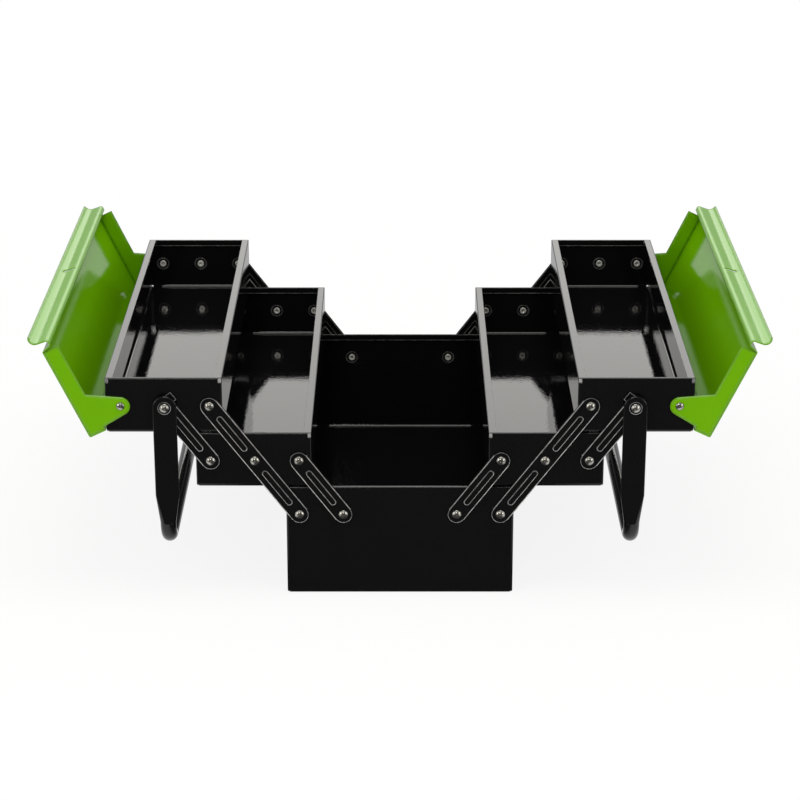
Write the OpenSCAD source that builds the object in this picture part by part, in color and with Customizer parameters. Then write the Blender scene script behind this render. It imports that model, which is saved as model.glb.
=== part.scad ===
// Cantilever tool box of folded sheet steel, modelled fully open.
// A base tray carries a lower and an upper tray on each side on parallel links.
// Each upper tray has a hinged lid and a tube handle.
// Millimetres, +Z up, X across, Y along the box, origin under the middle of the base.
// Pieces are drawn once, for the front end of the right-hand side, and then mirrored.

/* [Box] */
// Width of the base tray
base_w = 200; // [190:1:230]
// Height of the base tray
base_h = 102; // [85:1:140]
// Length of the base and of all the trays
box_l = 410; // [320:1:560]

/* [Trays] */
// How much wider a lower or upper tray is than half the base tray
tray_extra_w = 1; // [0:0.5:4]
// Height of each lower and upper tray
tray_h = 50.5; // [46:0.5:60]
// Free height between one rim and the tray that stands on it
stack_gap = 0.3; // [0.2:0.05:0.6]
// Space between the left and right trays when the box is shut
centre_gap = 0.6; // [0.4:0.1:2]

/* [Sheet metal] */
// Thickness of the sheet
sheet_t = 0.8; // [0.6:0.1:1.2]
// Outside radius of the bends round a tray's floor
floor_bend_r = 3.2; // [2:0.1:5]
// Outside radius of a tray's upright corners
corner_bend_r = 1.8; // [1.4:0.1:2]
// Outside radius of the bend along a rim
rim_bend_r = 1.2; // [0.8:0.1:1.6]
// Width of the flat rim along a tray's long sides
side_rim_w = 6.6; // [4:0.1:9]
// Depth of the return that hangs from the flat rim
side_return_h = 3; // [2:0.1:5]
// Width of the hem along a tray's ends
end_rim_w = 2.6; // [2.4:0.1:4]
// Depth of the hem's return along a tray's ends
end_return_h = 6; // [4:0.1:9]
// Width of the relief notch at each upper corner of an end
notch_w = 2; // [1:0.1:3]
// Height of that notch
notch_h = 3.4; // [2:0.1:5]
// Radius of the relief nick at each lower corner
nick_r = 1.3; // [0.8:0.1:1.6]

/* [Pivots] */
// Distance between neighbouring pivots on a tray, which is also a link's lean when open
pivot_pitch = 38.4; // [36:0.1:40]
// How far a tray's middle pivot lies inboard of the tray's centre
pivot_shift = 1; // [0:0.1:3]
// Radius of the pressed boss round each pivot
boss_r = 6.5; // [5:0.1:7]
// Height of that boss
boss_h = 0.8; // [0.4:0.1:1]
// Free space between pieces that turn beside each other on a pivot
side_gap = 0.3; // [0.2:0.05:0.5]
// Radial clearance of a rivet in its holes
pin_fit = 0.05; // [0.02:0.01:0.1]

/* [Rivets] */
// Radius of a rivet's shank
shank_r = 2.4; // [2:0.1:2.8]
// Radius of a link rivet's head
rivet_head_r = 4.2; // [3.5:0.1:5]
// Height of a link rivet's head
rivet_head_h = 2.1; // [1.4:0.1:2.6]
// Radius of a lid rivet's head
lid_rivet_head_r = 3.6; // [3.2:0.1:4.4]
// Height of a lid rivet's head
lid_rivet_head_h = 1.4; // [1:0.1:1.5]
// Radius of the rolled tail inside a tray
tail_r = 3.2; // [3:0.1:4]
// Thickness of that tail
tail_t = 1.5; // [1:0.1:2]
// Radius of the hollow in the tail
tail_hollow_r = 1.5; // [1:0.1:1.8]
// Free play under a rivet's head and over its tail
head_play = 0.1; // [0.05:0.05:0.2]
// Radius of the washers on the handle's pivot
washer_r = 5.7; // [5:0.1:7]
// Thickness of the washer under the handle rivet's head
washer_t = 0.8; // [0.5:0.1:1.2]

/* [Links] */
// Overall width of a link across its folded edges
link_w = 17; // [14:0.5:18]
// Thickness of a link's sheet
link_t = 1.2; // [1:0.1:1.4]
// Outside radius of a link's folded edges
link_edge_r = 1.3; // [1.2:0.1:1.8]
// Free space between a link's folded edge and the tray behind it
link_edge_gap = 0.5; // [0.3:0.1:0.7]
// Radius of a link's round head
link_head_r = 7.7; // [6.5:0.1:8.2]
// Length of the pressed rib between two pivots
rib_l = 39; // [24:0.5:42]
// Width of that rib
rib_w = 5; // [4:0.1:6]
// Height of that rib
rib_h = 0.7; // [0.4:0.1:0.8]
// Reach of the stop tab from the outer link's centre line
tab_reach = 12; // [10:0.1:13]
// Length of that tab along the link
tab_l = 8.4; // [6:0.1:9]
// How far that tab runs past the pivot
tab_past = 7.4; // [5:0.1:7.6]

/* [Lids] */
// Opening angle of a lid, from shut to resting on its tray's wall
lid_open = 115.5; // [100:0.5:120]
// Height of a shut lid's top above its tray's rim
lid_rise = 12.2; // [12:0.1:16]
// Space between a shut lid's outer edge and its tray's wall
lid_edge_gap = 0.6; // [0.4:0.1:1.2]
// Depth of a lid's end flanges
lid_flange_d = 15.2; // [13:0.1:17]
// Outside radius of a lid's bends
lid_bend_r = 1.6; // [1.2:0.1:2.2]
// Radius of the ear round a lid's pivot
ear_r = 8.3; // [6.5:0.1:9]
// Where the ear's straight side starts, from the lid's outer edge
ear_start = 36.8; // [30:0.1:44]
// How far the ear's straight side stands in from the hinge edge
ear_inset = 4; // [2:0.5:6]
// Height of the step between the hinge flange's end and the ear
ear_step_h = 2.4; // [1:0.1:4]
// Space that the hinge flange keeps from the tray's wall when the lid is open
lid_rest_gap = 0.3; // [0.2:0.05:1]
// Space between the two shut lids
lid_meet_gap = 0.4; // [0.2:0.1:1]

/* [Lid lip] */
// Width of the gutter and dome along a lid's free edge
lip_w = 16.5; // [16:0.1:19]
// Depth of the gutter under the lid's top
gutter_d = 9.4; // [8:0.1:11]
// Height of the dome over the lid's top
dome_h = 7.3; // [6:0.1:9]
// Middle radius of the dome
dome_r = 7; // [6:0.1:7.5]
// Slope of the gutter's first side
gutter_slope = 74; // [70:1:80]
// Slope of the gutter's second side
dome_slope = 84; // [80:1:87]
// Radius of the lip's front corner
lip_front_r = 8.5; // [4:0.5:9]
// Radius of the lip's rear corner
lip_rear_r = 2.5; // [1:0.5:6]
// Width of the slot across the lip
slot_w = 4; // [2:0.1:6]
// Upper end of that slot over the lid's top
slot_top = 3.5; // [1:0.5:5]
// Lower end of that slot under the lid's top
slot_low = 6.5; // [3:0.5:7]

/* [Handles] */
// Distance from a handle's pivot to the middle of its grip tube
handle_reach = 124; // [112:1:130]
// Outer diameter of the handle tube
tube_d = 14; // [12:0.5:15]
// Wall of the handle tube
tube_wall = 1.2; // [1:0.1:1.6]
// Width of the flattened ends of the tube
arm_w = 20.8; // [18:0.1:22]
// Length of the flattened ends below the pivot
arm_flat_l = 82; // [60:1:84]
// Middle radius of the bends at the ends of the grip
handle_bend_r = 17; // [15:0.5:20]
// Free space beside a handle's flattened end
arm_gap = 0.15; // [0.1:0.05:0.3]
// Space that a raised handle keeps from the box's middle
handle_meet_gap = 0.3; // [0.2:0.1:2]

/* [Hidden] */

left = -1;
right = 1;
front = -1;
rear = 1;

// Overlap that makes one cut or joint run cleanly through another, and a cut right through a piece
eps = 0.05;
through = 10;
// Faces round a turned piece, and the turn of one step along a lid's bends
turned_fn = 48;
bend_step = 5;

enamel = [0.02, 0.02, 0.022];
green = [0.38, 0.63, 0.02];
nickel = [0.78, 0.77, 0.72];

tray_w = base_w / 2 + tray_extra_w;

// Linkage: open and shut links lean alike, so a tray ends level with the rim below it
rise = tray_h + stack_gap;
link_pitch = sqrt(pivot_pitch * pivot_pitch + rise * rise);
link_angle = atan2(rise, pivot_pitch);
shut_x = (tray_w + centre_gap) / 2;
lower_x = shut_x + 2 * pivot_pitch;
upper_x = lower_x + 2 * pivot_pitch;
lower_z = base_h + stack_gap;
upper_z = lower_z + rise;
lower_pivot_z = lower_z + tray_h / 2;
upper_pivot_z = lower_pivot_z + rise;
base_pivot_z = lower_pivot_z - rise;

// Pivot places across a tray, from its centre: inner, middle and outer
inner_pivot = -pivot_shift - pivot_pitch;
middle_pivot = -pivot_shift;
outer_pivot = -pivot_shift + pivot_pitch;
base_outer_pivot = shut_x + middle_pivot + pivot_pitch;
base_inner_pivot = base_outer_pivot - pivot_pitch;

// Layers outward from an end's outer face
layer_z = boss_h + side_gap;
link_top = layer_z + link_t;
lid_top = layer_z + sheet_t;
arm_t = 2 * tube_wall;
arm_low = max(link_top + rib_h + side_gap, lid_top + head_play + lid_rivet_head_h + side_gap);
arm_top = arm_low + arm_t;
arm_mid = arm_low + arm_t / 2;
washer_low = arm_top + arm_gap;
washer_top = washer_low + washer_t;
plate_back = boss_h - sheet_t;

// Lid: the pivot seen from the outer top corner of the shut lid
lid_pivot_u = tray_w / 2 + lid_edge_gap + sheet_t - outer_pivot;
lid_pivot_v = lid_rise + tray_h / 2;
lid_reach = shut_x + outer_pivot + lid_pivot_u - lid_meet_gap / 2;
panel_w = lid_reach - lip_w;
wall_from_pivot = tray_w / 2 - outer_pivot;
// The hinge flange ends where it would meet the wall of the tray as the lid opens
hinge_flange_low = (wall_from_pivot + lid_rest_gap - lid_pivot_u * cos(lid_open)) / sin(lid_open);
hinge_flange_d = lid_pivot_v - hinge_flange_low;
lid_l = box_l + 2 * lid_top;

// Lip: lengths of its straight parts, from its depth, height and width
lip_mid_r = lid_bend_r - sheet_t / 2;
gutter_mid_r = 2;
gutter_side = (gutter_d - sheet_t - (lip_mid_r + gutter_mid_r) * (1 - cos(gutter_slope))) / sin(gutter_slope);
dome_side = (dome_h + gutter_d - sheet_t - (gutter_mid_r + dome_r) * (1 - cos(dome_slope))) / sin(dome_slope);
gutter_run = gutter_side * cos(gutter_slope) + (lip_mid_r + gutter_mid_r) * sin(gutter_slope);
dome_run = dome_side * cos(dome_slope) + (gutter_mid_r + dome_r) * sin(dome_slope);
gutter_floor = max(0.2, lip_w - gutter_run - dome_run);

// Handle: lengths down from the pivot
tube_r = tube_d / 2;
grip_bend_z = handle_reach - handle_bend_r;
grip_end_y = box_l / 2 + arm_mid - handle_bend_r;

// Angles of the shut box, for whoever sets the joints
fold_angle = 2 * (90 - link_angle);
handle_lean = asin((shut_x + middle_pivot - tube_r - handle_meet_gap) / handle_reach);
handle_swing = 180 + handle_lean - fold_angle;
echo(fold_angle = fold_angle, lid_open = lid_open, handle_swing = handle_swing);
echo(base_pivots = [base_inner_pivot, base_outer_pivot, base_pivot_z]);
echo(lower_tray = [lower_x, lower_z], upper_tray = [upper_x, upper_z]);
echo(lower_pivot_z = lower_pivot_z, upper_pivot_z = upper_pivot_z, hinge_flange_d = hinge_flange_d);
echo(layers = [layer_z, link_top, arm_low, arm_top, washer_top], panel_w = panel_w, lid_l = lid_l);

// Section of folded sheet: a rectangle with its own bend radius below and above
module bent_section(w, low, high, low_r, high_r) {
  translate([-w / 2, low + low_r])
    square([w, high - high_r - low - low_r]);
  translate([low_r - w / 2, low])
    square([w - 2 * low_r, high - high_r - low]);
  translate([high_r - w / 2, low + low_r])
    square([w - 2 * high_r, high - low - low_r]);
  for (side = [left, right]) {
    translate([side * (w / 2 - high_r), high - high_r])
      circle(r = high_r, $fn = turned_fn);
    if (low_r > 0)
      translate([side * (w / 2 - low_r), low + low_r])
        circle(r = low_r, $fn = turned_fn);
  }
}

// Stations [x, y, heading] along the middle of a folded sheet; a move is [length, turn, bend radius]
function fold_stations(moves, x, y, heading, i = 0) =
  i == len(moves) ? [[x, y, heading]] :
  let (
    turn = moves[i][1],
    r = moves[i][2] * sign(turn),
    steps = ceil(abs(turn) / bend_step),
    centre_x = x + moves[i][0] * cos(heading) - r * sin(heading),
    centre_y = y + moves[i][0] * sin(heading) + r * cos(heading),
    along = function(k) let (a = heading + turn * k / steps) [centre_x + r * sin(a), centre_y - r * cos(a), a],
    last = along(steps)
  )
  concat(
    [[x, y, heading]],
    [for (k = [0:steps - 1]) along(k)],
    fold_stations(moves, last[0], last[1], last[2], i + 1)
  );

// Outline of a folded sheet of thickness t along those stations
function fold_outline(stations, t) =
  let (
    n = len(stations),
    beside = function(s, d) [s[0] - d * sin(s[2]), s[1] + d * cos(s[2])]
  )
  concat(
    [for (i = [0:n - 1]) beside(stations[i], t / 2)],
    [for (i = [n - 1:-1:0]) beside(stations[i], -t / 2)]
  );

// Mirrors a front right-hand piece to the side and end that are asked for
module placed(side, end) {
  mirror([side == left ? 1 : 0, 0, 0])
    mirror([0, end == rear ? 1 : 0, 0])
      children();
}

// Puts a piece on a front pivot, with its own +Z pointing out of the box
module on_pivot(x, z) {
  translate([x, -box_l / 2, z])
    rotate([90, 0, 0])
      children();
}

// Runs a section along the box, or across it
module along_box(l) {
  rotate([90, 0, 0])
    linear_extrude(l, center = true)
      children();
}

module across_box(w) {
  rotate([90, 0, 90])
    linear_extrude(w, center = true)
      children();
}

// Solid block with a folded tray's outer bends, or the space inside them
module bent_block(w, l, low, high, low_r, high_r, upright_r) {
  intersection() {
    along_box(l + through)
      bent_section(w, low, high, low_r, high_r);
    across_box(w + through)
      bent_section(l, low, high, low_r, high_r);
    translate([0, 0, low - through])
      linear_extrude(high - low + 2 * through)
        bent_section(w, -l / 2, l / 2, upright_r, upright_r);
  }
}

module both_ends() {
  for (end = [front, rear])
    placed(right, end)
      children();
}

module pivot_boss() {
  translate([0, 0, -eps])
    cylinder(h = boss_h + eps, r1 = boss_r, r2 = boss_r - boss_h, $fn = turned_fn);
}

module pivot_recess() {
  translate([0, 0, -sheet_t - eps])
    cylinder(h = boss_h + eps, r1 = boss_r - sheet_t / 2, r2 = boss_r - boss_h - sheet_t / 2, $fn = turned_fn);
}

module pivot_bore() {
  cylinder(h = 2 * through, r = shank_r + pin_fit, center = true, $fn = turned_fn);
}

// A tray folded from one sheet: floor, four walls, flat side rims and hemmed ends
module folded_tray(w, h, pivots, pivot_z) {
  mouth_w = w - 2 * side_rim_w;
  mouth_l = box_l - 2 * end_rim_w;
  inner_r = floor_bend_r - sheet_t;
  difference() {
    union() {
      bent_block(w, box_l, 0, h, floor_bend_r, rim_bend_r, corner_bend_r);
      both_ends()
        for (x = pivots)
          on_pivot(x, pivot_z)
            pivot_boss();
    }
    bent_block(w - 2 * sheet_t, box_l - 2 * sheet_t, sheet_t, h - sheet_t, inner_r,
      rim_bend_r - sheet_t / 2, corner_bend_r - sheet_t);
    translate([-mouth_w / 2, -mouth_l / 2, h / 2])
      cube([mouth_w, mouth_l, h]);
    both_ends() {
      for (x = pivots)
        on_pivot(x, pivot_z) {
          pivot_recess();
          pivot_bore();
        }
      for (side = [left, right])
        translate([side * (w / 2 - sheet_t - notch_w / 2), -box_l / 2, h - sheet_t - notch_h / 2])
          cube([notch_w, 4 * sheet_t, notch_h], center = true);
      for (side = [left, right])
        translate([side * (w / 2 - nick_r), nick_r - box_l / 2, nick_r / 2])
          sphere(r = nick_r, $fn = 16);
    }
  }
  // Returns that hang from the rims
  for (side = [left, right])
    translate([side * (mouth_w + sheet_t) / 2, 0, h - side_return_h / 2 - sheet_t / 4])
      cube([sheet_t, box_l - 2 * end_rim_w, side_return_h - sheet_t / 2], center = true);
  both_ends()
    translate([0, (sheet_t - mouth_l) / 2, h - end_return_h / 2 - sheet_t / 4])
      translate([0, -sheet_t, 0])
        cube([w - 2 * sheet_t - 2 * notch_w, sheet_t, end_return_h - sheet_t / 2], center = true);
}

module base_tray() {
  color(enamel)
    folded_tray(
      base_w, base_h,
      [-base_outer_pivot, -base_inner_pivot, base_inner_pivot, base_outer_pivot],
      base_pivot_z
    );
}

module side_tray(side, x, z) {
  color(enamel)
    placed(side, front)
      translate([x, 0, z])
        folded_tray(tray_w, tray_h, [inner_pivot, middle_pivot, outer_pivot], tray_h / 2);
}

// A rivet on a front pivot: domed head outside, shank, and hollow rolled tail inside
module rivet(head_low, head_r, head_h, back) {
  tail_high = back - head_play;
  cap_r = (head_r * head_r + head_h * head_h) / (2 * head_h);
  rotate_extrude($fn = turned_fn) {
    translate([tail_hollow_r, tail_high - tail_t])
      square([tail_r - tail_hollow_r, tail_t]);
    translate([0, tail_high])
      square([shank_r, head_low - tail_high]);
    translate([tail_hollow_r, tail_high - tail_t / 2])
      square([shank_r - tail_hollow_r, tail_t]);
    intersection() {
      translate([0, head_low + head_h - cap_r])
        circle(r = cap_r, $fn = 2 * turned_fn);
      translate([0, head_low])
        square([head_r, head_h]);
    }
  }
}

module link_rivet() {
  rivet(link_top + head_play, rivet_head_r, rivet_head_h, plate_back);
}

module base_pivot_rivets() {
  color(nickel)
    for (side = [left, right], end = [front, rear], x = [base_inner_pivot, base_outer_pivot])
      placed(side, end)
        on_pivot(x, base_pivot_z)
          link_rivet();
}

module lower_tray_rivets(side) {
  color(nickel)
    for (end = [front, rear], x = [inner_pivot, middle_pivot, outer_pivot])
      placed(side, end)
        on_pivot(lower_x + x, lower_pivot_z)
          link_rivet();
}

module upper_link_rivets(side) {
  color(nickel)
    for (end = [front, rear])
      placed(side, end)
        on_pivot(upper_x + inner_pivot, upper_pivot_z)
          link_rivet();
}

module handle_rivets(side) {
  color(nickel)
    for (end = [front, rear])
      placed(side, end)
        on_pivot(upper_x + middle_pivot, upper_pivot_z)
          rivet(washer_top + arm_gap, rivet_head_r, rivet_head_h, plate_back);
}

module lid_rivets(side) {
  color(nickel)
    for (end = [front, rear])
      placed(side, end)
        on_pivot(upper_x + outer_pivot, upper_pivot_z)
          rivet(lid_top + head_play, lid_rivet_head_r, lid_rivet_head_h, plate_back);
}

// Two washers a pivot: a thick one behind the handle and a thin one under the head
module washer(low, high) {
  difference() {
    translate([0, 0, low])
      cylinder(h = high - low, r = washer_r, $fn = turned_fn);
    pivot_bore();
  }
}

module handle_washers(side) {
  color(enamel)
    for (end = [front, rear])
      placed(side, end)
        on_pivot(upper_x + middle_pivot, upper_pivot_z) {
          washer(link_top + arm_gap, arm_low - arm_gap);
          washer(washer_low, washer_top);
        }
}

// Section of a link: a web with both edges folded back towards the tray
module link_section() {
  difference() {
    bent_section(link_w, -link_w, link_top, 0, link_edge_r);
    translate([-link_w, -2 * link_w])
      square([2 * link_w, 2 * link_w + link_edge_gap]);
    translate([link_t - link_w / 2, 0])
      square([link_w - 2 * link_t, layer_z]);
  }
}

module rib(grow, low, high) {
  half = (rib_l - rib_w) / 2;
  r = rib_w / 2 + grow;
  for (x = [-half, half])
    translate([x, 0, low])
      cylinder(h = high - low, r = r, $fn = turned_fn);
  translate([-half, -r, low])
    cube([2 * half, 2 * r, high - low]);
}

// A link laid along +X from its first pivot, with a pivot at every pitch
module link(spans, stop_tab = false) {
  length = spans * link_pitch;
  difference() {
    union() {
      translate([length / 2, 0, 0])
        across_box(length)
          link_section();
      for (x = [0, length])
        translate([x, 0, layer_z])
          cylinder(h = link_t, r = link_head_r, $fn = turned_fn);
      if (stop_tab)
        translate([length + tab_past - tab_l, 0, layer_z])
          cube([tab_l, tab_reach, link_t]);
      for (i = [0:spans - 1])
        translate([(i + 0.5) * link_pitch, 0, 0])
          rib(0, link_top - eps, link_top + rib_h);
    }
    for (i = [0:spans])
      translate([i * link_pitch, 0, 0])
        pivot_bore();
    for (i = [0:spans - 1])
      translate([(i + 0.5) * link_pitch, 0, 0])
        rib(-link_t / 2, layer_z - eps, layer_z + rib_h);
  }
}

// Lays a link from a front pivot, up and outward
module leaning_link(x, z, spans, stop_tab = false) {
  color(enamel)
    on_pivot(x, z)
      rotate([0, 0, link_angle])
        link(spans, stop_tab);
}

module long_link(side, end) {
  placed(side, end)
    leaning_link(base_outer_pivot, base_pivot_z, 2);
}

module inner_link(side, end) {
  placed(side, end)
    leaning_link(base_inner_pivot, base_pivot_z, 1);
}

module outer_link(side, end) {
  placed(side, end)
    leaning_link(lower_x + outer_pivot, lower_pivot_z, 1, true);
}

// Where a line from a place beside the pivot touches the ear, on the side that turn names
function ear_touch(place, turn) =
  let (a = atan2(place[1], place[0]) + turn * acos(ear_r / norm(place)))
  ear_r * [cos(a), sin(a)];

// Draws a section of the lid from its pivot; x runs in from the hinge edge, y up from the top
module lid_section() {
  translate([lid_pivot_u, lid_pivot_v])
    mirror([1, 0])
      children();
}

// Hinge flange, top, gutter and dome of a lid, as one folded sheet
module lid_fold() {
  moves = [
    [hinge_flange_d - lid_bend_r, -90, lip_mid_r],
    [panel_w - lid_bend_r, -gutter_slope, lip_mid_r],
    [gutter_side, gutter_slope, gutter_mid_r],
    [gutter_floor, dome_slope, gutter_mid_r],
    [dome_side, -dome_slope, dome_r]
  ];
  lid_section()
    polygon(fold_outline(fold_stations(moves, sheet_t / 2, -hinge_flange_d, 90), sheet_t));
}

// A lid's end plate with the ear that carries the pivot
module end_flange() {
  pivot = [lid_pivot_u, -lid_pivot_v];
  ear_top = [ear_start, -lid_flange_d];
  step_low = [ear_inset, -hinge_flange_d - ear_step_h];
  lid_section()
    polygon([
      [lid_bend_r, -sheet_t / 2],
      [panel_w, -sheet_t / 2],
      [panel_w, -lid_flange_d],
      ear_top,
      pivot + ear_touch(ear_top - pivot, -1),
      pivot,
      pivot + ear_touch(step_low - pivot, 1),
      step_low,
      [ear_inset, -hinge_flange_d],
      [sheet_t / 2, -hinge_flange_d],
      [sheet_t / 2, -lid_bend_r]
    ]);
}

// Rounds a corner of the lip: takes away what lies outside a quarter circle
module lip_corner_cut(r) {
  translate([0, 0, lid_pivot_v + sheet_t / 2])
    linear_extrude(dome_h + through)
      difference() {
        translate([-through, -through])
          square([r + through, r + through]);
        translate([r, r])
          circle(r = r, $fn = turned_fn);
      }
}

// The folded sheet of a shut lid, for the right-hand side, from its pivot
module lid_sheet() {
  tip_x = lid_pivot_u - panel_w - lip_w;
  slot_x = lid_pivot_u - panel_w - gutter_run - gutter_floor;
  difference() {
    along_box(lid_l)
      lid_fold();
    translate([tip_x, -lid_l / 2, 0])
      lip_corner_cut(lip_front_r);
    translate([tip_x, lid_l / 2, 0])
      mirror([0, 1, 0])
        lip_corner_cut(lip_rear_r);
    translate([slot_x - dome_run, -slot_w / 2, lid_pivot_v - slot_low])
      cube([dome_run + gutter_mid_r, slot_w, slot_low + slot_top]);
  }
}

// End plates that are welded under that sheet, with the ears that carry the pivots
module lid_end_plates() {
  difference() {
    both_ends()
      translate([0, -box_l / 2 - layer_z, 0])
        rotate([90, 0, 0])
          difference() {
            union() {
              linear_extrude(sheet_t)
                end_flange();
              cylinder(h = sheet_t, r = ear_r, $fn = turned_fn);
            }
            pivot_bore();
          }
    along_box(lid_l + through)
      lid_fold();
  }
}

module on_open_lid(side) {
  placed(side, front)
    translate([upper_x + outer_pivot, 0, upper_pivot_z])
      rotate([0, lid_open, 0])
        children();
}

module lid(side) {
  color(green)
    on_open_lid(side)
      lid_sheet();
}

module lid_ends(side) {
  color(green)
    on_open_lid(side)
      lid_end_plates();
}

// Flattened end of the handle tube, hanging from a front pivot
module handle_arm() {
  rim_r = arm_w / 2 - arm_t / 2;
  translate([0, -box_l / 2 - arm_mid, 0]) {
    rotate([90, 0, 0])
      rotate_extrude($fn = turned_fn)
        union() {
          translate([rim_r, 0])
            circle(r = arm_t / 2, $fn = 24);
          translate([0, -arm_t / 2])
            square([rim_r, arm_t]);
        }
    translate([0, 0, -arm_flat_l])
      linear_extrude(arm_flat_l)
        arm_section();
    hull() {
      translate([0, 0, -arm_flat_l])
        linear_extrude(eps)
          arm_section();
      translate([0, 0, -grip_bend_z])
        linear_extrude(eps)
          circle(r = tube_r, $fn = 32);
    }
  }
}

module arm_section() {
  half = (arm_w - arm_t) / 2;
  for (x = [-half, half])
    translate([x, 0])
      circle(r = arm_t / 2, $fn = 24);
  square([2 * half, arm_t], center = true);
}

// Round tube of the grip: a bend at each end and the straight run between them
module grip_tube(r) {
  both_ends()
    translate([0, -grip_end_y, -grip_bend_z])
      rotate([0, 90, 0])
        rotate([0, 0, -90])
          rotate_extrude(angle = 90, $fn = turned_fn)
            translate([handle_bend_r, 0])
              circle(r = r, $fn = 32);
  translate([0, 0, -handle_reach])
    rotate([90, 0, 0])
      cylinder(h = 2 * grip_end_y, r = r, center = true, $fn = 32);
}

module hanging_handle() {
  difference() {
    union() {
      both_ends()
        handle_arm();
      grip_tube(tube_r);
    }
    grip_tube(tube_r - tube_wall);
    both_ends()
      translate([0, -box_l / 2 - arm_mid, 0])
        rotate([90, 0, 0])
          pivot_bore();
  }
}

module handle(side) {
  color(enamel)
    placed(side, front)
      translate([upper_x + middle_pivot, 0, upper_pivot_z])
        hanging_handle();
}

base_tray();
base_pivot_rivets();
side_tray(left, lower_x, lower_z);  // left_lower_tray
side_tray(right, lower_x, lower_z);  // right_lower_tray
side_tray(left, upper_x, upper_z);  // left_upper_tray
side_tray(right, upper_x, upper_z);  // right_upper_tray
lid(left);  // left_lid
lid(right);  // right_lid
lid_ends(left);  // left_lid_ends
lid_ends(right);  // right_lid_ends
handle(left);  // left_handle
handle(right);  // right_handle
long_link(left, front);  // left_long_link_front
long_link(left, rear);  // left_long_link_rear
long_link(right, front);  // right_long_link_front
long_link(right, rear);  // right_long_link_rear
inner_link(left, front);  // left_inner_link_front
inner_link(left, rear);  // left_inner_link_rear
inner_link(right, front);  // right_inner_link_front
inner_link(right, rear);  // right_inner_link_rear
outer_link(left, front);  // left_outer_link_front
outer_link(left, rear);  // left_outer_link_rear
outer_link(right, front);  // right_outer_link_front
outer_link(right, rear);  // right_outer_link_rear
lower_tray_rivets(left);  // left_lower_tray_rivets
lower_tray_rivets(right);  // right_lower_tray_rivets
upper_link_rivets(left);  // left_upper_link_rivets
upper_link_rivets(right);  // right_upper_link_rivets
handle_rivets(left);  // left_handle_rivets
handle_rivets(right);  // right_handle_rivets
lid_rivets(left);  // left_lid_rivets
lid_rivets(right);  // right_lid_rivets
handle_washers(left);  // left_handle_washers
handle_washers(right);  // right_handle_washers
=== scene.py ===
"""Looks of the cantilever tool box: enamelled sheet steel, nickel rivets and plain studio light."""

import math

import bpy
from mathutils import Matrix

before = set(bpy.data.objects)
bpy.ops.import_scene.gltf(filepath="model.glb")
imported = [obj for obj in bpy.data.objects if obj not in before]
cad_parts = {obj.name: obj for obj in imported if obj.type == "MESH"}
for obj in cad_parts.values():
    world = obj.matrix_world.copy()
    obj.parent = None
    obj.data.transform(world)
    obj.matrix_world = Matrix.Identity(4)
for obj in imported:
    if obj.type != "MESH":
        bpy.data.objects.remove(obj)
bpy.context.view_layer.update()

# Camera: in line with the middle of the box and above its front, as in the photograph.
# Metres before the origin and above the floor, degrees below level, and millimetres
CAMERA_BACK = 2.191
CAMERA_UP = 0.932
CAMERA_PITCH = 20.65
CAMERA_LENS = 110.5
SENSOR_WIDTH = 36.0
CLIP_END = 50.0

# Colours, linear
BLACK = (0.0028, 0.0029, 0.0031)
BLACK_PATCH = (0.0042, 0.0042, 0.0044)
# Paler edges of the black enamel: a painted highlight, partly worn paint
BLACK_EDGE_HIGHLIGHT_AND_WEAR = (0.75, 0.75, 0.73)
GREEN = (0.133, 0.370, 0.0008)
GREEN_PATCH = (0.148, 0.400, 0.0015)
# Paler edges of the green enamel: a painted highlight, partly worn paint
GREEN_EDGE_HIGHLIGHT_AND_WEAR = (0.220, 0.500, 0.020)
NICKEL = (0.50, 0.49, 0.45)
NICKEL_PATCH = (0.38, 0.36, 0.32)
# Rim of a rivet head: painted shade and a painted reflection of the dark plate round it
NICKEL_RIM_SHADE = (0.10, 0.095, 0.085)
# Rolled tails of the rivets: a painted highlight, lit by the lamps as pale paint
TAIL_HIGHLIGHT = (0.95, 0.93, 0.86)
SOFTBOX_TINT = (1.0, 0.985, 0.94)
FLOOR_WHITE = (0.90, 0.90, 0.90)
WHITE = (1.0, 1.0, 1.0)

# Enamel: its gloss, what dust haze adds to its roughness, and the least of the painted edge highlight,
# partly worn paint, in chips and on edges that look up
ENAMEL_IOR = 1.45
BLACK_ROUGHNESS = 0.02
GREEN_ROUGHNESS = 0.06
HAZE_ROUGHNESS = 0.03
LEAST_CHIPPED = 0.35
LEAST_HIGHLIGHT_LOOKING_UP = 0.30

# Nickel plate: its roughness, and how metallic the rolled tails of the rivets look; partly not
# metallic, so that lamps light their pale painted highlight
NICKEL_GLOSSIEST = 0.18
NICKEL_DULLEST = 0.30
TAIL_METALLIC = 0.55

# Radii of folds and edges, in metres: a fold's gloss, and how far the painted edge highlight and worn
# paint, or the painted dark rim of a rivet head, reaches
BLACK_FOLD = 0.0008
GREEN_FOLD = 0.004
HIGHLIGHT_EDGE_REACH = 0.0011
RIVET_EDGE = 0.0006

# Width in metres of the small bevel that every sheet edge gets, and the angle in degrees it needs
BEVEL_WIDTH = 0.00022
BEVEL_ANGLE = 40

# How far from the middle the end walls are, between the rolled tails and the heads of the rivets
WALL_FROM = 0.2043
WALL_TO = 0.2056

# Floor as the camera sees it: the share of plain white round the box, which fills up further out.
# The rest is the lit floor with the box's shadow
FLOOR_SIZE = 40.0
WHITE_SHARE = 0.87
WHITE_FROM = 0.45
WHITE_TO = 1.30

# How bright mirrors see the room before the box and behind it, and the table on both sides
ROOM_BEFORE = 0.08
ROOM_BEHIND = 0.55
TABLE_BESIDE = 1.0
CEILING = 0.35

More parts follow.
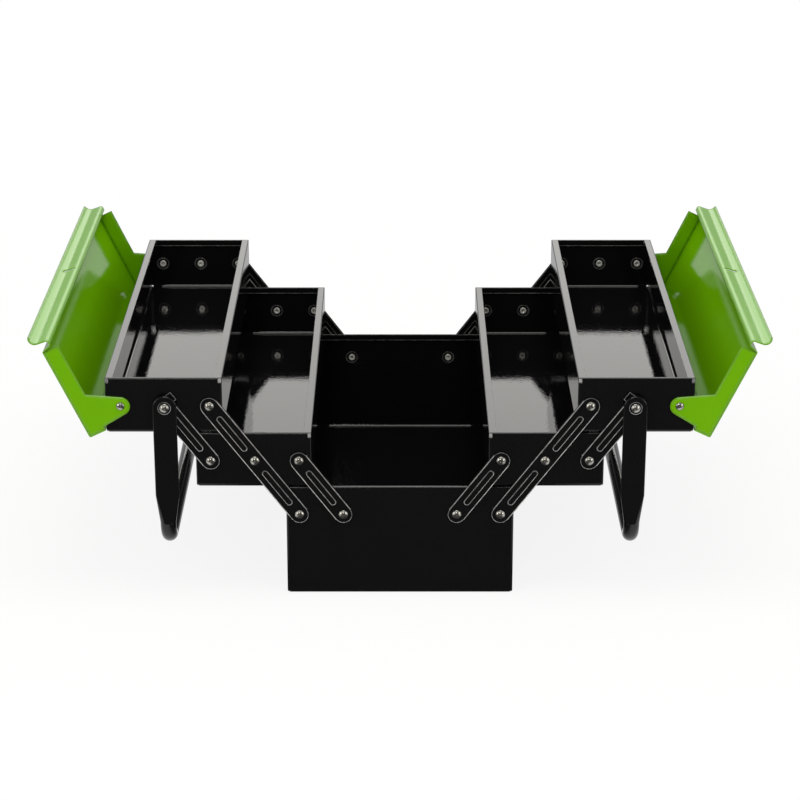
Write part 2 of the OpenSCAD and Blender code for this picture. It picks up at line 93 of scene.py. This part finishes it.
# Where, in metres from the middle, the floor behind the box and the bright table begin and end
BEHIND_FROM = -0.22
BEHIND_TO = 0.10
BESIDE_FROM = 0.13
BESIDE_TO = 0.20
TABLE_FRONT = (-0.40, -0.34)
TABLE_REAR = (0.22, 0.30)

# How strongly the white surround lights the scene
SURROUND_LIGHT = 0.68


class Nodes:
    """Adds and links the nodes of one tree."""

    def __init__(self, tree):
        self.tree = tree
        self.tree.nodes.clear()

    def add(self, kind, **settings):
        node = self.tree.nodes.new(kind)
        for name, value in settings.items():
            setattr(node, name, value)
        return node

    def link(self, source, target, into):
        self.tree.links.new(source, target.inputs[into])


def new_material(name):
    material = bpy.data.materials.new(name)
    material.use_nodes = True
    return material, Nodes(material.node_tree)


def noise(nodes, coords, scale, detail=2.0, roughness=0.5):
    texture = nodes.add("ShaderNodeTexNoise")
    texture.inputs["Scale"].default_value = scale
    texture.inputs["Detail"].default_value = detail
    texture.inputs["Roughness"].default_value = roughness
    nodes.link(coords, texture, "Vector")
    return texture.outputs["Fac"]


def remap(nodes, value, start, end, at_start=0.0, at_end=1.0):
    """A ramp: at_start as far as start, at_end from end on, and a straight line between."""
    ramp = nodes.add("ShaderNodeMapRange")
    ramp.inputs["From Min"].default_value = start
    ramp.inputs["From Max"].default_value = end
    ramp.inputs["To Min"].default_value = at_start
    ramp.inputs["To Max"].default_value = at_end
    nodes.link(value, ramp, "Value")
    return ramp.outputs["Result"]


def combine(nodes, operation, *values):
    """One step of arithmetic on one or two outputs."""
    node = nodes.add("ShaderNodeMath", operation=operation)
    for index, value in enumerate(values):
        nodes.link(value, node, index)
    return node.outputs["Value"]


def split(nodes, vector):
    parts = nodes.add("ShaderNodeSeparateXYZ")
    nodes.link(vector, parts, "Vector")
    return parts.outputs


def blend(nodes, factor, first, second):
    """Mixes two colours, each a linear triple or an output."""
    mix = nodes.add("ShaderNodeMix", data_type="RGBA")
    for name, colour in (("A", first), ("B", second)):
        if isinstance(colour, tuple):
            mix.inputs[name].default_value = (*colour, 1.0)
        else:
            nodes.link(colour, mix, name)
    nodes.link(factor, mix, "Factor")
    return mix.outputs["Result"]


def bump(nodes, height, distance, under):
    node = nodes.add("ShaderNodeBump")
    node.inputs["Distance"].default_value = distance
    nodes.link(height, node, "Height")
    nodes.link(under, node, "Normal")
    return node.outputs["Normal"]


def rounded_normal(nodes, radius):
    """A normal that rounds every edge and fold."""
    rounded = nodes.add("ShaderNodeBevel")
    rounded.samples = 8
    rounded.inputs["Radius"].default_value = radius
    return rounded.outputs["Normal"]


def edge_mask(nodes, rounded):
    """1 where the rounded normal leans well away from the real one, and 0 on flats."""
    surface = nodes.add("ShaderNodeNewGeometry")
    dot = nodes.add("ShaderNodeVectorMath", operation="DOT_PRODUCT")
    nodes.link(rounded, dot, 0)
    nodes.link(surface.outputs["True Normal"], dot, 1)
    return remap(nodes, dot.outputs["Value"], start=0.985, end=0.84)


def bend_mask(nodes):
    """1 where the sheet of a link bends back towards the tray, and 0 on its flat face and sides: the
    bends get a painted highlight.
    """
    surface = nodes.add("ShaderNodeNewGeometry")
    facing = combine(nodes, "ABSOLUTE", split(nodes, surface.outputs["True Normal"])["Y"])
    past_face = remap(nodes, facing, start=0.99, end=0.94)
    before_side = remap(nodes, facing, start=0.75, end=0.60, at_start=1.0, at_end=0.0)
    return combine(nodes, "MULTIPLY", past_face, before_side)


def edge_highlight_and_wear(nodes, coords, bend_highlights):
    """How much of the enamel is painted paler at its edges, a painted highlight that is partly worn
    paint: along edges, in chips, and least on faces that look up.
    """
    rounded = rounded_normal(nodes, HIGHLIGHT_EDGE_REACH)
    edges = edge_mask(nodes, rounded)
    # Links also get the painted highlight along the bends of their sheet
    if bend_highlights:
        edges = combine(nodes, "MAXIMUM", edges, bend_mask(nodes))
    grain = noise(nodes, coords, scale=160.0, detail=4.0, roughness=0.65)
    chips = remap(nodes, grain, start=0.32, end=0.58, at_start=LEAST_CHIPPED)
    # The painted edge highlight is kept least where edges look up and strongest where they look down
    downward = remap(nodes, split(nodes, rounded)["Z"], start=0.4, end=-0.4, at_start=LEAST_HIGHLIGHT_LOOKING_UP)
    return combine(nodes, "MULTIPLY", combine(nodes, "MULTIPLY", edges, chips), downward)


def enamel(name, colour, patch, edge, roughness, fold_radius, bend_highlights=False):
    """Baked gloss enamel: orange peel, slow waves of the sheet, dust haze, and paler edges that are a
    painted highlight, partly worn paint.
    """
    material, nodes = new_material(name)
    shader = nodes.add("ShaderNodeBsdfPrincipled")
    output = nodes.add("ShaderNodeOutputMaterial")
    nodes.link(shader.outputs["BSDF"], output, "Surface")
    coords = nodes.add("ShaderNodeTexCoord").outputs["Object"]
    coat = blend(nodes, noise(nodes, coords, scale=28.0, detail=3.0), colour, patch)
    nodes.link(blend(nodes, edge_highlight_and_wear(nodes, coords, bend_highlights), coat, edge), shader, "Base Color")
    dust = noise(nodes, coords, scale=140.0, detail=4.0, roughness=0.6)
    haze = remap(nodes, dust, 0.35, 0.75, at_start=roughness, at_end=roughness + HAZE_ROUGHNESS)
    nodes.link(haze, shader, "Roughness")
    shader.inputs["IOR"].default_value = ENAMEL_IOR
    smooth = rounded_normal(nodes, fold_radius)
    waves = bump(nodes, noise(nodes, coords, scale=18.0, detail=1.0), distance=0.00008, under=smooth)
    peel = bump(nodes, noise(nodes, coords, scale=420.0, detail=1.5), distance=0.000045, under=waves)
    nodes.link(peel, shader, "Normal")
    return material


def inside_walls(nodes, coords):
    """1 on the rolled tails of the rivets, inside the end walls, and 0 on their heads."""
    distance = combine(nodes, "ABSOLUTE", split(nodes, coords)["Y"])
    return remap(nodes, distance, WALL_FROM, WALL_TO, at_start=1.0, at_end=0.0)


def plated_steel(name, colour, patch, edge, tail_highlight):
    """Nickel plate with a fine grain and duller patches; heads have a painted dark rim, standing for
    shade and the mirrored dark plate, and the tails are painted bright as a highlight.
    """
    material, nodes = new_material(name)
    shader = nodes.add("ShaderNodeBsdfPrincipled")
    output = nodes.add("ShaderNodeOutputMaterial")
    nodes.link(shader.outputs["BSDF"], output, "Surface")
    coords = nodes.add("ShaderNodeTexCoord").outputs["Object"]
    patches = noise(nodes, coords, scale=400.0, detail=3.0)
    smooth = rounded_normal(nodes, RIVET_EDGE)
    # The rolled tails get the pale painted highlight colour in place of the plate's
    tails = inside_walls(nodes, coords)
    plate = blend(nodes, tails, blend(nodes, patches, colour, patch), tail_highlight)
    # The rims are painted: dark shade on the heads, a bright highlight on the tails
    rim = blend(nodes, tails, edge, tail_highlight)
    nodes.link(blend(nodes, edge_mask(nodes, smooth), plate, rim), shader, "Base Color")
    metallic = remap(nodes, tails, start=0.0, end=1.0, at_start=1.0, at_end=TAIL_METALLIC)
    nodes.link(metallic, shader, "Metallic")
    gloss = remap(nodes, patches, 0.3, 0.7, at_start=NICKEL_GLOSSIEST, at_end=NICKEL_DULLEST)
    nodes.link(gloss, shader, "Roughness")
    grain = noise(nodes, coords, scale=1500.0, detail=2.0)
    nodes.link(bump(nodes, grain, distance=0.00001, under=smooth), shader, "Normal")
    return material


def finish_of(name):
    """Which finish a node has, by its name."""
    if "rivets" in name:
        return "nickel"
    if "_lid" in name:
        return "green"
    if "_link_" in name:
        return "link"
    return "black"


def dress(materials):
    """Gives each node its finish, and bevels its sheet edges so that they catch the light."""
    for name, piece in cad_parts.items():
        piece.data.materials.clear()
        piece.data.materials.append(materials[finish_of(name)])
        edge = piece.modifiers.new("edge", "BEVEL")
        edge.width = BEVEL_WIDTH
        edge.segments = 2
        edge.limit_method = "ANGLE"
        edge.angle_limit = math.radians(BEVEL_ANGLE)
        edge.harden_normals = False


def ray_masks(nodes):
    """Two masks: the rays of the camera, and those of mirrors and glass."""
    path = nodes.add("ShaderNodeLightPath").outputs
    shiny = combine(nodes, "MAXIMUM", path["Is Glossy Ray"], path["Is Transmission Ray"])
    return path["Is Camera Ray"], shiny


def mirrored_floor(nodes, coords):
    """What mirrors see of the floor: pale behind the box, dim before it and bright on both sides."""
    place = split(nodes, coords)
    behind = remap(nodes, place["Y"], BEHIND_FROM, BEHIND_TO, ROOM_BEFORE, ROOM_BEHIND)
    aside = combine(nodes, "ABSOLUTE", place["X"])
    beside = remap(nodes, aside, BESIDE_FROM, BESIDE_TO, at_end=TABLE_BESIDE)
    past_front = remap(nodes, place["Y"], *TABLE_FRONT)
    before_rear = remap(nodes, place["Y"], *TABLE_REAR, at_start=1.0, at_end=0.0)
    table = combine(nodes, "MULTIPLY", beside, past_front)
    table = combine(nodes, "MULTIPLY", table, before_rear)
    return combine(nodes, "MAXIMUM", behind, table)


def floor_material():
    """White for the camera, mixed with the lit floor near the box. Mirrors and glass see it glow as
    mirrored_floor gives; other light sees the lit floor.
    """
    material, nodes = new_material("floor")
    material.cycles.emission_sampling = "NONE"
    lit = nodes.add("ShaderNodeBsdfDiffuse")
    lit.inputs["Color"].default_value = (*FLOOR_WHITE, 1.0)
    glow = nodes.add("ShaderNodeEmission")
    coords = nodes.add("ShaderNodeTexCoord").outputs["Object"]
    distance = nodes.add("ShaderNodeVectorMath", operation="LENGTH")
    nodes.link(coords, distance, 0)
    share = remap(nodes, distance.outputs["Value"], WHITE_FROM, WHITE_TO, at_start=WHITE_SHARE)
    on_camera, shiny = ray_masks(nodes)
    nodes.link(blend(nodes, shiny, WHITE, mirrored_floor(nodes, coords)), glow, "Color")
    mix = nodes.add("ShaderNodeMixShader")
    glowing = combine(nodes, "MAXIMUM", combine(nodes, "MULTIPLY", share, on_camera), shiny)
    nodes.link(glowing, mix, 0)
    nodes.link(lit.outputs["BSDF"], mix, 1)
    nodes.link(glow.outputs["Emission"], mix, 2)
    output = nodes.add("ShaderNodeOutputMaterial")
    nodes.link(mix.outputs["Shader"], output, "Surface")
    return material


def floor():
    bpy.ops.mesh.primitive_plane_add(size=FLOOR_SIZE, location=(0.0, 0.0, 0.0))
    plane = bpy.context.active_object
    plane.name = "floor"
    plane.data.materials.append(floor_material())


def mirrored_room(nodes):
    """What mirrors see round the box: dim before it, bright at its sides, less so behind and above."""
    towards = nodes.add("ShaderNodeTexCoord").outputs["Generated"]
    direction = split(nodes, towards)
    sides = remap(nodes, direction["Y"], start=-0.82, end=-0.60, at_start=ROOM_BEFORE)
    ceiling = remap(nodes, direction["Z"], start=0.35, end=0.75, at_start=1.0, at_end=CEILING)
    back = remap(nodes, direction["Y"], start=0.30, end=0.80, at_start=1.0, at_end=ROOM_BEHIND)
    return combine(nodes, "MULTIPLY", combine(nodes, "MULTIPLY", sides, ceiling), back)


def surround():
    """White round the box for the camera, a room for mirrors, and plain white light for the rest."""
    world = bpy.data.worlds.new("surround")
    world.use_nodes = True
    bpy.context.scene.world = world
    nodes = Nodes(world.node_tree)
    on_camera, shiny = ray_masks(nodes)
    room = combine(nodes, "MULTIPLY", shiny, mirrored_room(nodes))
    strength = nodes.add("ShaderNodeMix", data_type="FLOAT")
    strength.inputs["A"].default_value = SURROUND_LIGHT
    nodes.link(combine(nodes, "MAXIMUM", room, on_camera), strength, "B")
    nodes.link(combine(nodes, "MAXIMUM", on_camera, shiny), strength, "Factor")
    light = nodes.add("ShaderNodeBackground")
    light.inputs["Color"].default_value = (*WHITE, 1.0)
    nodes.link(strength.outputs["Result"], light, "Strength")
    output = nodes.add("ShaderNodeOutputWorld")
    nodes.link(light.outputs["Background"], output, "Surface")


def area_light(name, place, turn, size, power):
    light = bpy.data.lights.new(name, "AREA")
    light.shape = "RECTANGLE"
    light.size = size[0]
    light.size_y = size[1]
    light.energy = power
    light.color = SOFTBOX_TINT
    lamp = bpy.data.objects.new(name, light)
    lamp.location = place
    lamp.rotation_euler = [math.radians(a) for a in turn]
    lamp.visible_camera = False
    bpy.context.scene.collection.objects.link(lamp)


def softboxes():
    """Softboxes behind, overhead and in front, and a low strip at each side for the edges."""
    area_light("back_softbox", place=(0.0, 1.60, 0.80), turn=(-72, 0, 0), size=(1.9, 0.44), power=4.2)
    area_light("top_softbox", place=(0.0, -0.3, 1.9), turn=(0, 0, 0), size=(1.2, 0.9), power=15.0)
    area_light("front_softbox", place=(-0.35, -2.3, 1.45), turn=(59, 0, -9), size=(0.5, 0.5), power=6.0)
    for side in (-1, 1):
        strip = f"side_strip_{side}"
        place = (side * 1.5, -1.3, 0.45)
        area_light(strip, place, turn=(85, 0, side * 49), size=(0.22, 1.1), power=4.2)


def studio():
    bpy.context.scene.view_settings.view_transform = "Standard"
    floor()
    surround()
    softboxes()


def camera():
    data = bpy.data.cameras.new("camera")
    data.lens = CAMERA_LENS
    data.sensor_width = SENSOR_WIDTH
    data.clip_end = CLIP_END
    eye = bpy.data.objects.new("camera", data)
    eye.location = (0.0, -CAMERA_BACK, CAMERA_UP)
    eye.rotation_euler = (math.radians(90.0 - CAMERA_PITCH), 0.0, 0.0)
    bpy.context.scene.collection.objects.link(eye)
    bpy.context.scene.camera = eye


def finishes():
    black = (BLACK, BLACK_PATCH, BLACK_EDGE_HIGHLIGHT_AND_WEAR, BLACK_ROUGHNESS, BLACK_FOLD)
    green = (GREEN, GREEN_PATCH, GREEN_EDGE_HIGHLIGHT_AND_WEAR, GREEN_ROUGHNESS, GREEN_FOLD)
    return {
        "black": enamel("black_enamel", *black),
        "link": enamel("link_enamel", *black, bend_highlights=True),
        "green": enamel("green_enamel", *green),
        "nickel": plated_steel("nickel_plate", NICKEL, NICKEL_PATCH, NICKEL_RIM_SHADE, TAIL_HIGHLIGHT),
    }


camera()
studio()
dress(finishes())
